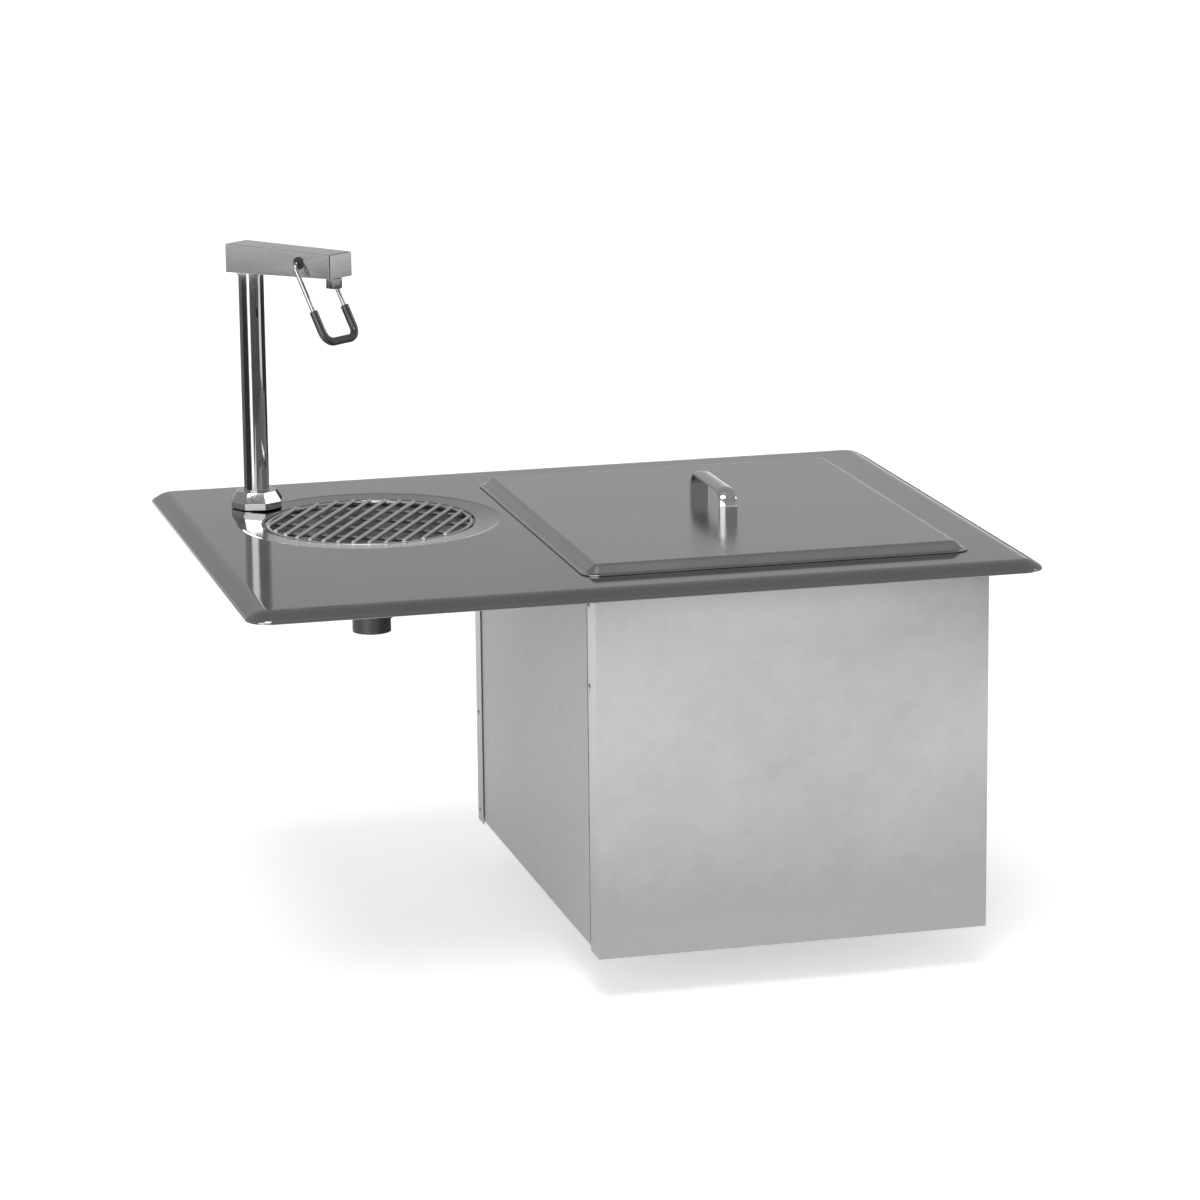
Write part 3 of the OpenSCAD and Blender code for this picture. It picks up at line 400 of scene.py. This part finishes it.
class Shell:
    """A mesh made of rings of points that are bridged one to the next."""

    def __init__(self):
        self.bm = bmesh.new()

    def ring(self, points):
        return [self.bm.verts.new(Vector(p) * MM) for p in points]

    def bridge(self, a, b):
        for i in range(len(a)):
            j = (i + 1) % len(a)
            self.bm.faces.new((a[i], a[j], b[j], b[i]))

    def chain(self, rings):
        """Lays rings of equal counts one after the other and skins them."""
        made = [self.ring(r) for r in rings]
        for a, b in zip(made, made[1:]):
            self.bridge(a, b)
        return made

    def cap(self, rings):
        """Closes both ends of a chain."""
        for end in (rings[0], rings[-1]):
            self.bm.faces.new(end)

    def fill(self, rings, up):
        """A flat face between rings: the first is the outer edge and the others are holes."""
        edges = []
        for r in rings:
            for i, v in enumerate(r):
                w = r[(i + 1) % len(r)]
                edges.append(self.bm.edges.get((v, w)) or self.bm.edges.new((v, w)))
        bmesh.ops.triangle_fill(self.bm, use_beauty=True, use_dissolve=False, edges=edges, normal=(0, 0, up))

    def make(self, name, material, body, replaces=(), sharp=35):
        """Turns the mesh into a piece that rides on a body. Edges turn sharp from an angle in degrees."""
        bmesh.ops.recalc_face_normals(self.bm, faces=self.bm.faces)
        mesh = bpy.data.meshes.new(name)
        self.bm.to_mesh(mesh)
        self.bm.free()
        mesh.shade_smooth()
        mesh.set_sharp_from_angle(angle=math.radians(sharp))
        obj = bpy.data.objects.new(name, mesh)
        obj.modifiers.new("normals", "WEIGHTED_NORMAL").keep_sharp = True
        bpy.context.scene.collection.objects.link(obj)
        dress(obj, material)
        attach(obj, body)
        if replaces:
            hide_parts(*replaces)
        return obj


def rounded_ring(cx, cy, w, d, inset, r, z, steps=14):
    """A round-cornered rectangle at height z. Its corner arcs have radius r and centres set in by inset."""
    half_w, half_d = w / 2 - inset, d / 2 - inset
    out = []
    for k, (sx, sy) in enumerate(((1, 1), (-1, 1), (-1, -1), (1, -1))):
        for j in range(steps + 1):
            a = math.radians(90 * (k + j / steps))
            out.append((cx + sx * half_w + r * math.cos(a), cy + sy * half_d + r * math.sin(a), z))
    return out


def circle_ring(cx, cy, r, z, steps):
    turns = [2 * math.pi * k / steps for k in range(steps)]
    return [(cx + r * math.cos(a), cy + r * math.sin(a), z) for a in turns]


# Sizes and places of the CAD model, from the frame where a whole piece gives them
def extent(name):
    """The low corner, the high corner and the size of a CAD piece, to a hundredth of a millimetre."""
    low, high = ([round(value / MM, 2) for value in corner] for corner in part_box(name))
    return low, high, [round(b - a, 2) for a, b in zip(low, high)]


def middle(name):
    """Where a CAD piece's middle is, seen from above."""
    low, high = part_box(name)
    return round((low.x + high.x) / 2 / MM, 2), round((low.y + high.y) / 2 / MM, 2)


_, deck_high, (DECK_W, DECK_D, THROAT) = extent("deck_top")
lid_low, _, (LID_W, LID_D, LID_H) = extent("lid_shell")
front_low, front_high, _ = extent("case_front")
back_low, _, _ = extent("case_back")
side_low, side_high, _ = extent("case_left")
_, collar_high, (COLLAR_W, _, _) = extent("post_collar")
_, _, (SHANK_W, _, _) = extent("filler_shank")
RIM_H, LID_Z = deck_high[2], lid_low[2]
PAN, WELL, POST = middle("pan_bowl"), middle("lid_shell"), middle("filler_post")

SHEET, DECK_R, BEVEL, LIP, HEM = 1.2, 20, 11, 2.4, 14
PAN_LIP_R, PAN_LIP_FOOT = 91, 3.5
LID_T, LID_R, LID_FLANGE, LID_BEVEL = 1, 14, 4, 7
LID_SIDE_LAP, LID_FRONT_LAP = 14.5, 12
WELL_W, WELL_D, WELL_R = LID_W - 2 * LID_SIDE_LAP, LID_D - 2 * LID_FRONT_LAP, 18
SHANK_PLAY = 0.05
SHANK_HOLE_R = SHANK_W / 2 + SHANK_PLAY

# Roundings that the pressed sheets add, and the flat strips that run into them
ROLL_STEPS = 7
RIM_RUN, RIM_ROUND, LIP_ROUND, HEM_ROUND, UNDER_ROUND = 7, 20, 3, 0.6, 18
DISH_R, DISH_RUN, DISH_ROUND = 112.5, 3.5, 12
SHOULDER_R, SHOULDER_DROP, SHOULDER_ROUND = 109.5, 0.45, 14
DISH_DROP, PAN_LIP_ROUND, PAN_UNDER_ROUND = 1.3, 1.6, 0.4
THROAT_RUN, THROAT_ROUND, THROAT_UNDER_ROUND = 6, 2.0, 0.8
LAST_ROW = 1
PAN_STEPS, SHANK_STEPS = 160, 48
LID_RUN, LID_ROUND, FLANGE_ROUND, EDGE_ROUND, FLANGE_UNDER_ROUND, LID_UNDER_ROUND = 2.9, 7, 3.5, 0.35, 4, 2.5


def deck_skin():
    """The deck as one pressed sheet: rolled rim, soft dish round the pan, and a throat down into the well."""
    s = Shell()
    top, under = RIM_H, RIM_H - SHEET
    r = DECK_R
    slope = (RIM_H - LIP) / BEVEL
    drop = SHEET * math.sqrt(1 + slope * slope)
    inner = r - BEVEL - (drop - SHEET) / slope
    flat = r - BEVEL - RIM_RUN
    lip_under = LIP + SHEET * slope - drop
    line = fillet([(flat, top), (r - BEVEL, top, RIM_ROUND), (r, LIP, LIP_ROUND), (r, 0, HEM_ROUND),
                   (r - HEM, 0), (r - HEM, SHEET), (r - SHEET, SHEET), (r - SHEET, lip_under),
                   (inner, under, UNDER_ROUND), (flat, under)], ROLL_STEPS)
    line = [(flat - LAST_ROW, top)] + line + [(flat - LAST_ROW, under)]
    rim = s.chain([rounded_ring(0, 0, DECK_W, DECK_D, r, x, z) for x, z in line])

    flat = DISH_R + DISH_RUN
    line = fillet([(flat, top), (DISH_R, top, DISH_ROUND), (SHOULDER_R, top - SHOULDER_DROP, SHOULDER_ROUND),
                   (PAN_LIP_R, top - DISH_DROP, PAN_LIP_ROUND), (PAN_LIP_R, PAN_LIP_FOOT),
                   (PAN_LIP_R + SHEET, PAN_LIP_FOOT), (PAN_LIP_R + SHEET, under - DISH_DROP, PAN_UNDER_ROUND),
                   (SHOULDER_R, under - SHOULDER_DROP), (DISH_R, under), (flat, under)])
    line = [(flat + LAST_ROW, top)] + line + [(flat + LAST_ROW, under)]
    pan = s.chain([circle_ring(*PAN, x, z, PAN_STEPS) for x, z in line])

    r = WELL_R
    flat = r + THROAT_RUN
    line = fillet([(flat, top), (r, top, THROAT_ROUND), (r, top - THROAT), (r + SHEET, top - THROAT),
                   (r + SHEET, under, THROAT_UNDER_ROUND), (flat, under)])
    line = [(flat + LAST_ROW, top)] + line + [(flat + LAST_ROW, under)]
    well = s.chain([rounded_ring(*WELL, WELL_W, WELL_D, r, x, z) for x, z in line])

    hole = s.chain([circle_ring(*POST, SHANK_HOLE_R, z, SHANK_STEPS) for z in (top, under)])
    s.fill([rim[0], pan[0], well[0], hole[0]], 1)
    s.fill([rim[-1], pan[-1], well[-1], hole[-1]], -1)
    s.make("deck_skin", "deck_steel", "deck", ["deck_top"])


def lid_skin():
    """The lid as one pressed sheet with a soft bevel and a flat flange."""
    s = Shell()
    r = LID_R
    inset = LID_FLANGE + LID_BEVEL
    slope = (LID_H - LID_T) / LID_BEVEL
    drop = LID_T * math.sqrt(1 + slope * slope)
    shift = (drop - LID_T) / slope
    flat = r - inset - LID_RUN
    line = fillet([(flat, LID_H), (r - inset, LID_H, LID_ROUND), (r - LID_FLANGE, LID_T, FLANGE_ROUND),
                   (r, LID_T, EDGE_ROUND), (r, 0), (r - LID_FLANGE - shift, 0, FLANGE_UNDER_ROUND),
                   (r - inset - shift, LID_H - LID_T, LID_UNDER_ROUND), (flat, LID_H - LID_T)], ROLL_STEPS)
    rings = s.chain([rounded_ring(*WELL, LID_W, LID_D, r, x, LID_Z + z) for x, z in line])
    s.fill([rings[0]], 1)
    s.fill([rings[-1]], -1)
    s.make("lid_skin", "lid_steel", "lid", ["lid_shell"])


# The handle's leg, strap and bend as in the CAD model, and the crown and edge that the strap gets here
HANDLE_LEG, HANDLE_STRAP, HANDLE_BEND = 7, 3.5, 16
HANDLE_CROWN, HANDLE_EDGE = 1.5, 0.35
HANDLE_STEPS, HANDLE_ROWS = 10, 12


def handle_skin():
    """The handle as an arched strap whose outer face is crowned across its width."""
    low, high = (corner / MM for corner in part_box("lid_handle"))
    half_w, middle = (high.x - low.x) / 2, (high.x + low.x) / 2

    def outline(inset_y, inset_z, bend):
        """Points up one leg, along the top and down the other leg, each with its outward angle."""
        y, z = low.y + inset_y, high.z - inset_z
        arc = [math.pi * (1 - k / (2 * HANDLE_STEPS)) for k in range(HANDLE_STEPS + 1)]
        half = [(y, low.z, math.pi)]
        half += [(y + bend + bend * math.cos(a), z - bend + bend * math.sin(a), a) for a in arc]
        return half + [(low.y + high.y - py, pz, math.pi - a) for py, pz, a in reversed(half)]

    across = [-1 + 2 * k / HANDLE_ROWS for k in range(HANDLE_ROWS + 1)]
    outer_line = outline(0, 0, HANDLE_BEND)
    inner_line = outline(HANDLE_LEG, HANDLE_STRAP, HANDLE_BEND - HANDLE_LEG)
    rings = []
    for (oy, oz, a), (iy, iz, _) in zip(outer_line, inner_line):
        def outer(x, depth):
            return (middle + x, oy - depth * math.cos(a), oz - depth * math.sin(a))
        crowned = [outer(u * (half_w - HANDLE_EDGE), HANDLE_CROWN * u * u) for u in across]
        edges = [outer(side * half_w, HANDLE_CROWN + HANDLE_EDGE) for side in (-1, 1)]
        rings.append([edges[0], *crowned, edges[1], (middle + half_w, iy, iz), (middle - half_w, iy, iz)])
    s = Shell()
    s.cap(s.chain(rings))
    s.make("handle_skin", "handle_chrome", "lid", ["lid_handle"], sharp=40)


deck_skin()
lid_skin()
handle_skin()


# Beads, welds, threads and the spring
BEAD_END = 0.4
BEAD_WAVES = 0.35
STEEP = 0.9


def bead(name, path, radius, material, seed=0, ragged=0.0, sides=8, step=9.0, replaces=()):
    """A tube along a path of points, with a slightly uneven thickness where it is ragged."""
    pts = [Vector(path[0])]
    for a, b in zip(path, path[1:]):
        a, b = Vector(a), Vector(b)
        n = max(1, round((b - a).length / step))
        pts += [a.lerp(b, k / n) for k in range(1, n + 1)]
    turns = [2 * math.pi * k / sides for k in range(sides)]
    rings = []
    for i, p in enumerate(pts):
        ahead = (pts[min(i + 1, len(pts) - 1)] - pts[max(i - 1, 0)]).normalized()
        level = Vector((0, 0, 1)) if abs(ahead.z) < STEEP else Vector((1, 0, 0))
        side = ahead.cross(level).normalized()
        up = side.cross(ahead)
        r = radius * (1 + ragged * noise.noise(p * BEAD_WAVES + Vector((seed, 0, 0))))
        if i in (0, len(pts) - 1):
            r *= BEAD_END
        rings.append([p + (side * math.cos(t) + up * math.sin(t)) * r for t in turns])
    s = Shell()
    s.cap(s.chain(rings))
    return s.make(name, material, "deck", replaces, sharp=80)


def helix(radius, pitch, low, high, centre, steps=20):
    """Points of a screw line that climbs from low to high."""
    turns = (high - low) / pitch
    n = int(turns * steps)
    out = []
    for k in range(n + 1):
        a = 2 * math.pi * turns * k / n
        z = low + (high - low) * k / n
        out.append((centre[0] + radius * math.cos(a), centre[1] + radius * math.sin(a), z))
    return out


# Dark beads along the folds of the case: painted shade for the shadow gaps where the panels overlap
CASE_SEAM_R, CASE_SEAM_SINK, CASE_SEAM_GAP, CASE_SEAM_STEP = 0.75, 0.4, 0.5, 4.0
SEAM_FOOT_GAP, SEAM_HEAD_GAP = 2, 2.8
SEAM_X = {"left": front_low[0] + CASE_SEAM_SINK, "right": front_high[0] - CASE_SEAM_SINK}
SEAM_Y = {"front": front_high[1] + CASE_SEAM_GAP, "back": back_low[1] - CASE_SEAM_GAP}
for side_name, side_x in SEAM_X.items():
    for end_name, end_y in SEAM_Y.items():
        seam_path = [(side_x, end_y, z) for z in (side_low[2] + SEAM_FOOT_GAP, side_high[2] - SEAM_HEAD_GAP)]
        bead(f"case_seam_shade_{side_name}_{end_name}", seam_path, CASE_SEAM_R, "sealant",
             seed=len(side_name) + len(end_name), ragged=0.25, step=CASE_SEAM_STEP)

# Weld between post and arm
WELD_R, WELD_OUT, WELD_STEPS = 1.0, 0.4, 40
weld_ring = circle_ring(*POST, COLLAR_W / 2 + WELD_OUT, collar_high[2] + WELD_OUT, WELD_STEPS)
bead("post_weld", weld_ring + weld_ring[:1], WELD_R, "arm_steel", ragged=0.9, step=1.5)

# Seam round the arm's end cap
ARM_TURN = math.radians(38)
ARM_AHEAD = Vector((math.sin(ARM_TURN), -math.cos(ARM_TURN), 0))
ARM_ACROSS = Vector((math.cos(ARM_TURN), math.sin(ARM_TURN), 0))
SEAM_AT, SEAM_HALF, SEAM_LOW, SEAM_HIGH, SEAM_R = 101.4, 12.7, 219.5, 238.15, 1.1
seam_centre = Vector((*POST, 0)) + ARM_AHEAD * SEAM_AT
seam_corners = ((-1, SEAM_LOW), (1, SEAM_LOW), (1, SEAM_HIGH), (-1, SEAM_HIGH), (-1, SEAM_LOW))
cap_path = [seam_centre + ARM_ACROSS * (SEAM_HALF * side) + Vector((0, 0, z)) for side, z in seam_corners]
bead("end_cap_seam", cap_path, SEAM_R, "sealant", step=3.0)

# Thread on the pan's drain
TAIL_LOW, TAIL_HIGH, TAIL_R, THREAD_PITCH, THREAD_R = -71.5, -49.5, 17.3, 2.3, 0.55
bead("pan_drain_thread", helix(TAIL_R, THREAD_PITCH, TAIL_LOW, TAIL_HIGH, PAN), THREAD_R, "drain_steel",
     sides=6)

# The valve's spring is a real coil, drawn at rest; on the real valve it shortens as the lever presses the
# valve's stem.
COIL_R, COIL_PITCH, WIRE_R, VALVE_TRAVEL = 1.5, 0.86, 0.26, 2.0
spring_low, spring_high = (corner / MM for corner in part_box("valve_spring"))
spring_at = (spring_low + spring_high) / 2
coil_path = helix(COIL_R, COIL_PITCH, spring_low.z + WIRE_R, spring_high.z - WIRE_R, spring_at)
coil = bead("valve_coil", coil_path, WIRE_R, "drain_steel", replaces=["valve_spring"])
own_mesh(coil)


# Soft edges on CAD pieces that stay: the bevel's width, and the least angle in degrees that it takes
SOFT_EDGES = {"filler_arm": (0.5, 40), "arm_end_cap": (0.4, 40), "filler_base": (0.6, 25),
              "outlet_nozzle": (0.35, 40)}
WELD_DISTANCE, BEVEL_SEGMENTS, NORMAL_WEIGHT = 0.001, 2, 80


def soften(obj, width, angle):
    """Rounds a CAD piece's edges with modifiers. Its own mesh stays as it was packed."""
    weld = obj.modifiers.new("weld", "WELD")
    weld.merge_threshold = WELD_DISTANCE * MM
    bevel = obj.modifiers.new("bevel", "BEVEL")
    bevel.width = width * MM
    bevel.segments = BEVEL_SEGMENTS
    bevel.limit_method = "ANGLE"
    bevel.angle_limit = math.radians(angle)
    bevel.harden_normals = False
    normals = obj.modifiers.new("normals", "WEIGHTED_NORMAL")
    normals.keep_sharp = False
    normals.weight = NORMAL_WEIGHT


for soft_name, (soft_width, soft_angle) in SOFT_EDGES.items():
    soften(NODES[soft_name], soft_width, soft_angle)


# Floor and world, with the floor's half width in metres
FLOOR_GAP = 0.5
FLOOR_Z = round(cad_box[0][2] / MM, 2) - FLOOR_GAP
FLOOR_HALF = 60
FLOOR_TONES, FLOOR_CLOUD_SCALE = (0.955, 0.965), 0.8
FLOOR_GLOW = 0.45
# Radiance of the studio by the sine of the height, behind the object and in front of it
BACK_TONES = ((0.0, 0.95), (0.10, 0.75), (0.196, 0.55), (0.235, 0.46), (0.40, 0.42), (0.80, 0.36),
              (0.96, 0.34), (1.0, 0.46))
FRONT_TONES = ((0.0, 0.50), (0.15, 0.40), (0.6, 0.34), (0.9, 0.40), (1.0, 0.46))
# Depth, as a share of the way to the horizon, over which the back turns into the front
TURN = 0.25


def make_floor():
    """A pale floor just under the object, which keeps the object's shadow."""
    corners = [(x, y, FLOOR_Z * MM) for x, y in ((-1, -1), (1, -1), (1, 1), (-1, 1))]
    mesh = bpy.data.meshes.new("floor")
    mesh.from_pydata([(x * FLOOR_HALF, y * FLOOR_HALF, z) for x, y, z in corners], [], [(0, 1, 2, 3)])
    floor = bpy.data.objects.new("floor", mesh)
    bpy.context.scene.collection.objects.link(floor)
    m = Mat("floor")
    m.tint(m.noise(FLOOR_CLOUD_SCALE), grey(FLOOR_TONES[0]), grey(FLOOR_TONES[1]))
    m.fixed(Roughness=1.0, Specular_IOR_Level=0.0, Emission_Color=(1, 1, 1, 1))
    # A faint glow that only the camera, metal and glass see brings the lit floor up to white.
    rays = m.add("ShaderNodeLightPath")
    seen = m.sum(rays.outputs["Is Camera Ray"], rays.outputs["Is Glossy Ray"])
    seen = m.sum(seen, rays.outputs["Is Transmission Ray"])
    m.link(m.sum(seen, FLOOR_GLOW, "MULTIPLY"), m.shader.inputs["Emission Strength"])
    mesh.materials.append(m.mat)


def make_world():
    """A studio whose light goes from bright at the horizon to grey overhead."""
    world = bpy.data.worlds.new("studio")
    bpy.context.scene.world = world
    world.use_nodes = True
    tree = world.node_tree
    at = tree.nodes.new("ShaderNodeTexCoord")
    split = tree.nodes.new("ShaderNodeSeparateXYZ")
    tree.links.new(at.outputs["Generated"], split.inputs["Vector"])
    turn = tree.nodes.new("ShaderNodeMapRange")
    turn.inputs["From Min"].default_value = TURN
    turn.inputs["From Max"].default_value = -TURN
    tree.links.new(split.outputs["Y"], turn.inputs["Value"])
    mix = tree.nodes.new("ShaderNodeMix")
    mix.data_type = "RGBA"
    tree.links.new(turn.outputs["Result"], mix.inputs["Factor"])
    colours = [socket for socket in mix.inputs if socket.type == "RGBA"]
    for tones, colour in zip((BACK_TONES, FRONT_TONES), colours):
        ramp = tree.nodes.new("ShaderNodeValToRGB")
        tree.links.new(split.outputs["Z"], ramp.inputs["Fac"])
        tree.links.new(ramp.outputs["Color"], colour)
        stops = ramp.color_ramp.elements
        while len(stops) < len(tones):
            stops.new(0.5)
        for stop, (place, tone) in zip(stops, tones):
            stop.position = place
            stop.color = (*grey(tone), 1)
    out = [socket for socket in mix.outputs if socket.type == "RGBA"][0]
    tree.links.new(out, tree.nodes["Background"].inputs["Color"])


# Lamps and cards. Angles are in degrees: azimuth 0 is in front of the object, on -Y, and 90 is on +X.
def sun(name, azimuth, height, strength, angle):
    """A soft distant lamp."""
    data = bpy.data.lights.new(name, "SUN")
    data.energy = strength
    data.angle = math.radians(angle)
    lamp = bpy.data.objects.new(name, data)
    bpy.context.scene.collection.objects.link(lamp)
    a, e = math.radians(azimuth), math.radians(height)
    towards = Vector((math.sin(a) * math.cos(e), -math.cos(a) * math.cos(e), math.sin(e)))
    lamp.matrix_world = towards.to_track_quat("Z", "Y").to_matrix().to_4x4()


def softbox(name, azimuth, distance, width, height, radiance):
    """An upright soft lamp that stands on the floor and faces the post. Its lengths are in metres."""
    data = bpy.data.lights.new(name, "AREA")
    data.shape = "RECTANGLE"
    data.size = width
    data.size_y = height
    data.energy = radiance * math.pi * width * height
    lamp = bpy.data.objects.new(name, data)
    bpy.context.scene.collection.objects.link(lamp)
    a = math.radians(azimuth)
    towards = Vector((math.sin(a), -math.cos(a), 0))
    middle = Vector((*POST, FLOOR_Z)) * MM + Vector((0, 0, height / 2))
    facing = towards.to_track_quat("Z", "Y").to_matrix().to_4x4()
    lamp.matrix_world = Matrix.Translation(towards * distance + middle) @ facing
    lamp.visible_camera = False


CARD_R, CARD_TOP, CARD_STEPS = 1450, -8, 24
CARD_CLOUD_SCALE, CARD_SPREAD = 3, 0.1


def card(name, start, end, tone):
    """A low dark card that stands on the floor on an arc round the post, for the chrome to reflect."""
    bm = bmesh.new()
    columns = []
    for k in range(CARD_STEPS + 1):
        a = math.radians(start + (end - start) * k / CARD_STEPS)
        x, y = POST[0] + CARD_R * math.sin(a), POST[1] - CARD_R * math.cos(a)
        columns.append([bm.verts.new(Vector((x, y, z)) * MM) for z in (FLOOR_Z, CARD_TOP)])
    for (a, b), (c, d) in zip(columns, columns[1:]):
        bm.faces.new((a, c, d, b))
    mesh = bpy.data.meshes.new(name)
    bm.to_mesh(mesh)
    bm.free()
    obj = bpy.data.objects.new(name, mesh)
    bpy.context.scene.collection.objects.link(obj)
    m = Mat(name)
    m.tint(m.noise(CARD_CLOUD_SCALE), grey(tone * (1 - CARD_SPREAD)), grey(tone * (1 + CARD_SPREAD)))
    m.fixed(Roughness=1.0, Specular_IOR_Level=0.0)
    mesh.materials.append(m.mat)
    obj.visible_camera = False
    obj.visible_shadow = False
    obj.visible_diffuse = False


make_floor()
make_world()
sun("key", azimuth=-24, height=61, strength=0.95, angle=24)
sun("fill", azimuth=-37, height=8, strength=1.42, angle=60)
sun("kicker", azimuth=83, height=30, strength=0.10, angle=10)
softbox("softbox_left", azimuth=-38, distance=1.9, width=0.42, height=0.5, radiance=1.9)
card("card_left", start=-51, end=-104, tone=0.09)
card("card_far_left", start=-104, end=-160, tone=0.30)
card("card_front", start=-25, end=53, tone=0.22)
card("card_right", start=77, end=165, tone=0.06)

bpy.context.scene.view_settings.view_transform = "Standard"
